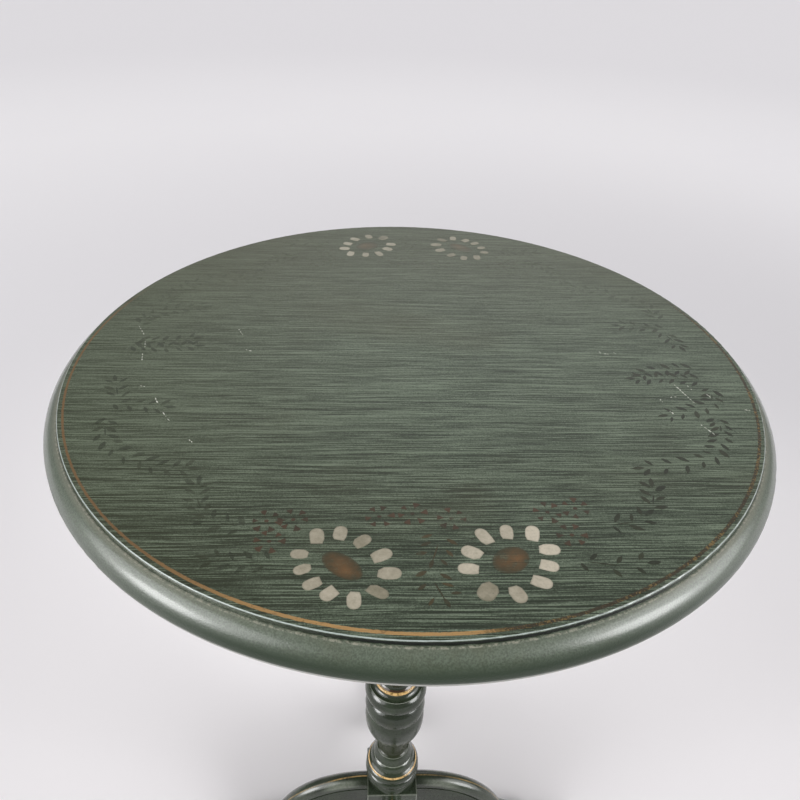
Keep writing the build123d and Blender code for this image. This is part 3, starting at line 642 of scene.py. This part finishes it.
# bare scratches: from x, y to x, y in mm
SCRATCHES = (
    (-208, 44, -201, 31), (-198, 22, -196, 12), (-196, 5, -194, -5),
    (-132, 41, -127, 31), (-123, 11, -118, 9), (-188, -36, -184, -37),
    (-175, -49, -171, -57), (-166, -66, -160, -75), (-144, -94, -141, -97),
    (142, 12, 143, 9), (145, 9, 149, 8), (153, 11, 154, 9),
    (169, -49, 170, -53), (185, -31, 192, -54), (194, -32, 196, -39),
    (176, -47, 183, -46), (204, -43, 206, -47), (187, -77, 193, -89),
    (171, -62, 173, -66), (224, -61, 228, -62),
)


def petal_outline(length, width, cut_a, cut_b):
    """Cut across at the inner end, which is at the origin, and round at the outer."""
    points = [(0.05 * length, cut_a * width), (0.0, -cut_b * width), (0.28 * length, -0.49 * width)]
    for step in range(13):
        angle = math.radians(-90 + 15 * step)
        reach = 0.58 + 0.42 * max(0.0, math.cos(angle)) ** 0.8
        points.append((reach * length, 0.5 * width * math.sin(angle)))
    points.append((0.28 * length, 0.49 * width))
    return points


def leaf_outline(length, width):
    """Pointed at both ends, about its middle."""
    steps = 7
    along_x = [-length / 2 + length * i / steps for i in range(steps + 1)]
    half_widths = [math.sin(math.pi * i / steps) ** 0.85 * width / 2 for i in range(steps + 1)]
    rim = list(zip(along_x, half_widths))
    return [(x, -half) for x, half in rim] + rim[-2:0:-1]


def oval_outline(length, width, steps=32):
    """About its middle."""
    turns = [2 * math.pi * i / steps for i in range(steps)]
    return [(math.cos(t) * length / 2, math.sin(t) * width / 2) for t in turns]


def wedge_outline(length, width):
    """A fan-shaped wedge with its point at the origin."""
    widest = math.sin(WEDGE_HALF_ANGLE)
    points = [(0.0, 0.0)]
    for share in (-1, -0.5, 0, 0.5, 1):
        angle = WEDGE_HALF_ANGLE * share
        points.append((length * math.cos(angle), width / 2 * math.sin(angle) / widest))
    return points


def placed(outline, at, angle):
    """The outline turned by angle and moved to at."""
    turn = Matrix.Rotation(angle, 2)
    return [turn @ Vector(point) + Vector(at) for point in outline]


def unit(angle):
    """The direction at that angle from +X."""
    return Vector((math.cos(angle), math.sin(angle)))


class Film:
    """Outlines of one paint, which become one mesh of thin closed patches on the top's face."""

    def __init__(self, layer=0.0):
        self.patches = []
        self.layer = layer

    def add(self, outline, at, angle, twice=True, tone=None, crown=(0.0, 0.0), second_size=1.0):
        """Lays the outline down at a place and angle, and again half a turn round the top."""
        halves = [(0.0, 1.0)]
        if twice:
            halves.append((SECOND_TURN, second_size))
        for half, size in halves:
            turn = Matrix.Rotation(half, 2)
            shape = [Vector(point) * size for point in (*outline, crown)]
            *points, middle = [turn @ point for point in placed(shape, at, angle)]
            shade = dice.random() if tone is None else tone
            self.patches.append((points, middle, shade))

    def build(self, name, look):
        """Each patch is a fan round its crown over a straight rim and a flat underside."""
        mesh = bpy.data.meshes.new(name)
        b = bmesh.new()
        depth = b.verts.layers.float.new("depth")
        tone = b.verts.layers.float.new("tone")
        for number, (points, middle, shade) in enumerate(self.patches):
            upper = TOP_Z + FILM + self.layer + FILM_STEP * (number % FILM_STEPS)
            top = [b.verts.new((p.x, p.y, upper)) for p in points]
            base = [b.verts.new((p.x, p.y, TOP_Z - FILM_SINK)) for p in points]
            crown = b.verts.new((middle.x, middle.y, upper))
            crown[depth] = 1.0
            for vert in (*top, *base, crown):
                vert[tone] = shade
            for i in range(len(points)):
                j = (i + 1) % len(points)
                b.faces.new((crown, top[i], top[j]))
                b.faces.new((top[i], base[i], base[j], top[j]))
            b.faces.new(list(reversed(base)))
        b.to_mesh(mesh)
        b.free()
        mesh.materials.append(look)
        made = bpy.data.objects.new(name, mesh)
        bpy.context.scene.collection.objects.link(made)
        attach(made, "tilting_top")


def along(points, share):
    """The point and direction at share (0 to 1) of the way along a Catmull-Rom path."""
    path = [Vector(p) * MM for p in points]
    path = [path[0] * 2 - path[1], *path, path[-1] * 2 - path[-2]]
    spans = len(path) - 3
    place = min(share * spans, spans - 1e-6)
    i = int(place)
    t = place - i
    a, b, c, d = path[i:i + 4]
    linear = c - a
    square = a * 2 - b * 5 + c * 4 - d
    cube = b * 3 - a - c * 3 + d
    point = (b * 2 + linear * t + square * t**2 + cube * t**3) / 2
    slope = (linear + square * 2 * t + cube * 3 * t**2) / 2
    return point, math.atan2(slope.y, slope.x)


def grow(film, points, pairs, gap, scale=1.0):
    """Leaf pairs beside a path, leaning to its tip, with one leaf on the tip."""
    for i in range(pairs):
        for side in (1, -1):
            share = (i + 0.35 + 0.3 * (side > 0) + dice.uniform(-0.08, 0.08)) / pairs
            at, heading = along(points, share)
            lean = side * (LEAF_SPREAD + dice.uniform(-0.22, 0.22))
            outward = unit(heading + side * math.pi / 2)
            off = outward * gap * dice.uniform(0.85, 1.15)
            size = scale * dice.uniform(0.72, 1.08)
            outline = leaf_outline(LEAF_LENGTH * size, LEAF_WIDTH * size * dice.uniform(0.85, 1.2))
            film.add(outline, at + off, heading + lean)
    at, heading = along(points, 1.0)
    film.add(leaf_outline(LEAF_LENGTH * scale, LEAF_WIDTH * scale), at, heading)


def stroke(film, start, end, width, twice=True):
    """A thin tapering brush stroke or scratch."""
    run = end - start
    outline = leaf_outline(run.length, width)
    film.add(outline, (start + end) / 2, math.atan2(run.y, run.x), twice)


def stem(film, points, first, last):
    """A straight stroke between two shares of the way along a path."""
    start, end = (along(points, share)[0] for share in (first, last))
    stroke(film, start, end, STEM_WIDTH)


def paint_flowers(petals, cores):
    for x, y, core_heading, core_length, core_width, ring in FLOWERS:
        centre = Vector((x, y)) * MM
        core = oval_outline(core_length * MM, core_width * MM)
        crown = (0.15 * core_length * MM, -0.1 * core_width * MM)
        cores.add(core, centre, math.radians(core_heading), crown=crown)
        for direction, reach, heading, length, width, brightness in ring:
            heading = math.radians(heading)
            middle = centre + unit(math.radians(direction)) * reach * MM
            inner = middle - unit(heading) * length / 2 * MM
            cuts = dice.uniform(0.22, 0.46), dice.uniform(0.22, 0.46)
            outline = petal_outline(length * MM, width * MM, *cuts)
            crown = (length / 2 * MM, 0.0)
            petals.add(outline, inner, heading, tone=brightness, crown=crown, second_size=SECOND_SIZE)


def paint_wheels(film):
    for x, y in WHEELS:
        centre = Vector((x, y)) * MM
        film.add(oval_outline(*WHEEL_DOT, 10), centre, 0.0)
        start = dice.uniform(0, math.pi)
        for i in range(WHEEL_WEDGES):
            turn = start + 2 * math.pi * i / WHEEL_WEDGES + dice.uniform(-0.15, 0.15)
            size = dice.uniform(0.8, 1.1)
            outline = wedge_outline(WEDGE_LENGTH * size, WEDGE_WIDTH * size)
            crown = (WEDGE_LENGTH * size / 2, 0.0)
            film.add(outline, centre + unit(turn) * WHEEL_RADIUS, turn, crown=crown)


def paint_sprig(film):
    for points, pairs in SPRIG:
        grow(film, points, pairs, SPRIG_GAP, SPRIG_LEAF_SIZE)
        stem(film, points, 0.35, 0.95)


def paint_vines(film):
    for points, pairs in VINES:
        grow(film, points, pairs, VINE_GAP)
        stem(film, points, 0.12, 0.12 + 1.2 / pairs)


def scratch_face(film):
    """Each scratch is a row of short strokes with gaps between them."""
    for x0, y0, x1, y1 in SCRATCHES:
        start, end = Vector((x0, y0)) * MM, Vector((x1, y1)) * MM
        pieces = max(2, int((end - start).length / SCRATCH_PIECE))
        for i in range(pieces):
            a = start.lerp(end, (i + dice.uniform(0.0, 0.25)) / pieces)
            b = start.lerp(end, (i + dice.uniform(0.6, 1.0)) / pieces)
            side = Vector((dice.uniform(-1, 1), dice.uniform(-1, 1))) * SCRATCH_STRAY
            width = dice.uniform(0.45, 0.95) * MM
            stroke(film, a + side, b - side, width, twice=False)


def film_look(name, dull, bright, worn_at, shade_by="tone", soft=0.18, far=1.0, fading=False):
    """Thin stencil paint, mottled, thin at its rim and worn through to the glaze under it.

    shade_by is the vertex attribute that runs from the dull colour to the bright one. far is
    how much of the paint is left on the second half of the pattern, and with fading there is
    less of it towards -X too.
    """
    p = Paint(name)
    glaze, light = green_glaze(p)
    grain = p.noise(p.where, 750.0, 3.0, 0.65)
    mottle = p.noise(p.where, 210.0, 3.0, 0.65)
    shade = p.math("ADD", p.attribute(shade_by), p.swing(mottle, 0.8), clamp=True)
    colour = p.mix(shade, dull, bright)
    colour = p.tint(colour, glaze, p.ramp(grain, 0.45, 0.70), 0.16)
    rim = p.plus(p.attribute("depth"), p.swing(grain, 0.3))
    colour = p.tint(colour, glaze, p.ramp(rim, 0.16, 0.02), 0.35)
    wear = p.plus(p.noise(p.where, 120.0, 4.0, 0.7), p.swing(light, 0.2))
    kept = p.ramp(wear, worn_at - soft / 2, worn_at + soft / 2)
    x, y, _ = p.split(p.where)
    kept = p.times(kept, p.number(p.ramp(y, 0.01, 0.11), 1.0, far))
    if fading:
        kept = p.times(kept, p.number(p.ramp(x, -0.10, 0.05), 0.65, 1.0))
    return p.surface(
        p.mix(kept, glaze, colour),
        p.number(grain, 0.34, 0.48),
        p.bump(p.plus(light, grain), 0.08 * MM, 0.4),
        Coat_Weight=FACE_COAT,
        Coat_Roughness=TOP_COAT_ROUGHNESS,
        Coat_IOR=TOP_COAT_IOR,
    )


def petal_paint():
    return film_look("petal_paint", rgb(132, 126, 106), rgb(200, 191, 172), 0.19, far=0.62)


def core_paint():
    return film_look(
        "core_paint", rgb(60, 54, 32), rgb(108, 78, 44), 0.34, shade_by="depth", soft=0.30, far=0.45
    )


def wheel_paint():
    return film_look("wheel_paint", rgb(52, 42, 27), rgb(76, 56, 38), 0.31, far=0.15)


def sprig_paint():
    return film_look("sprig_paint", rgb(54, 50, 30), rgb(74, 62, 36), 0.36, far=0.10)


def leaf_paint():
    return film_look("leaf_paint", rgb(30, 36, 20), rgb(44, 48, 28), 0.33, far=0.30, fading=True)


def scratch_wood():
    return film_look("scratch_wood", rgb(176, 178, 164), rgb(224, 226, 214), 0.36)


def stencil():
    petals, cores, wheels, sprig, leaves = (Film() for _ in range(5))
    scratches = Film(layer=FILM_STEP * FILM_STEPS)
    paint_flowers(petals, cores)
    paint_wheels(wheels)
    paint_sprig(sprig)
    paint_vines(leaves)
    scratch_face(scratches)
    petals.build("flower_petals", petal_paint())
    cores.build("flower_centres", core_paint())
    wheels.build("berry_wheels", wheel_paint())
    sprig.build("middle_sprig", sprig_paint())
    leaves.build("vine_leaves", leaf_paint())
    scratches.build("bare_scratches", scratch_wood())


dice = random.Random(11)
stencil()


# ================================================================ stage, light, camera
# floor: a painted pool of light round the table, then rings of painted shade that dim and lighten again
# outwards
LIT_POOL_COLOURS = (rgb(244, 241, 243), rgb(247, 244, 246))
SHADED_EDGE_COLOURS = (rgb(225, 223, 226), rgb(215, 213, 216))     # painted shade at the sides, from -X to +X
FAR_COLOURS = (rgb(232, 230, 233), rgb(235, 233, 235))
RIM_COLOUR = rgb(225, 223, 226)


def floor():
    """Pale paper, a little uneven, with painted light and shade in rings round the table."""
    size = FLOOR_HALF_SIZE
    corners = [(-size, -size, 0), (size, -size, 0), (size, size, 0), (-size, size, 0)]
    mesh = bpy.data.meshes.new("floor")
    mesh.from_pydata(corners, [], [(0, 1, 2, 3)])
    made = bpy.data.objects.new("floor", mesh)
    bpy.context.scene.collection.objects.link(made)
    p = Paint("floor_paper")
    x = p.split(p.where)[0]
    cloud = p.noise(p.where, 1.3, 3.0, 0.5)
    out = p.radius()
    # painted light and shade: the bright pool near the table, dimmer sides, more so to +X
    edge = p.mix(p.ramp(x, -1.5, 1.5), *SHADED_EDGE_COLOURS)
    colour = p.mix(p.ramp(out, 0.45, 1.5), p.mix(cloud, *LIT_POOL_COLOURS), edge)
    colour = p.mix(p.ramp(out, 1.6, 3.2), colour, p.mix(cloud, *FAR_COLOURS))
    colour = p.mix(p.ramp(out, 3.2, 5.0), colour, RIM_COLOUR)
    made.data.materials.append(p.surface(colour, 0.9, Specular_IOR_Level=0.0))


def world():
    """A dim plain room with a brighter hanging sheet behind the table.

    The camera sees the room itself as a pale wall.
    """
    made = bpy.data.worlds.new("room")
    made.use_nodes = True
    tree = made.node_tree
    background = tree.nodes["Background"]

    def calculate(operation, a, b=0.0):
        node = tree.nodes.new("ShaderNodeMath")
        node.operation = operation
        for socket, value in zip(node.inputs, (a, b)):
            if isinstance(value, bpy.types.NodeSocket):
                tree.links.new(value, socket)
            else:
                socket.default_value = value
        return node.outputs[0]

    where = tree.nodes.new("ShaderNodeTexCoord")
    axes = tree.nodes.new("ShaderNodeSeparateXYZ")
    tree.links.new(where.outputs["Generated"], axes.inputs[0])
    side = calculate("MULTIPLY", calculate("SUBTRACT", axes.outputs[0], SHEET_SIDE), SHEET_SIDE_SQUEEZE)
    rise = calculate("MULTIPLY", calculate("SUBTRACT", axes.outputs[2], SHEET_RISE), SHEET_RISE_SQUEEZE)
    squares = calculate("ADD", calculate("POWER", side, 2.0), calculate("POWER", rise, 2.0))
    in_front = calculate("LESS_THAN", axes.outputs[1], 0.0)
    away = calculate("ADD", calculate("SQRT", squares), in_front)
    share = tree.nodes.new("ShaderNodeMapRange")
    share.interpolation_type = "SMOOTHSTEP"
    share.inputs["From Min"].default_value = SHEET_END
    share.inputs["From Max"].default_value = SHEET_FULL
    share.inputs["To Min"].default_value = ROOM_STRENGTH
    share.inputs["To Max"].default_value = SHEET_STRENGTH
    tree.links.new(away, share.inputs["Value"])
    seen = tree.nodes.new("ShaderNodeLightPath").outputs["Is Camera Ray"]
    wall = calculate("MULTIPLY", seen, WALL_STRENGTH)
    strength = calculate("MAXIMUM", share.outputs["Result"], wall)
    tree.links.new(strength, background.inputs["Strength"])
    background.inputs["Color"].default_value = rgb(255, 253, 255)
    bpy.context.scene.world = made


def soft_sun(name, direction, angle, strength):
    """A broad soft light from that direction, the same all over the floor."""
    data = bpy.data.lights.new(name, "SUN")
    data.angle = math.radians(angle)
    data.energy = strength
    made = bpy.data.objects.new(name, data)
    made.rotation_mode = "QUATERNION"
    made.rotation_quaternion = (-Vector(direction)).to_track_quat("-Z", "Y")
    bpy.context.scene.collection.objects.link(made)


def camera():
    data = bpy.data.cameras.new("camera")
    data.lens = CAMERA_LENS
    data.sensor_width = SENSOR
    data.clip_start = 0.01
    data.clip_end = 100
    made = bpy.data.objects.new("camera", data)
    turn = (
        Matrix.Rotation(-CAMERA_HEADING, 4, "Z")
        @ Matrix.Rotation(math.pi / 2 - CAMERA_PITCH, 4, "X")
        @ Matrix.Rotation(CAMERA_ROLL, 4, "Z")
    )
    made.matrix_world = Matrix.Translation(CAMERA_AT) @ turn
    bpy.context.scene.collection.objects.link(made)
    bpy.context.scene.camera = made


floor()
world()
for sun in SUNS:
    soft_sun(*sun)
camera()
bpy.context.scene.view_settings.view_transform = "Standard"
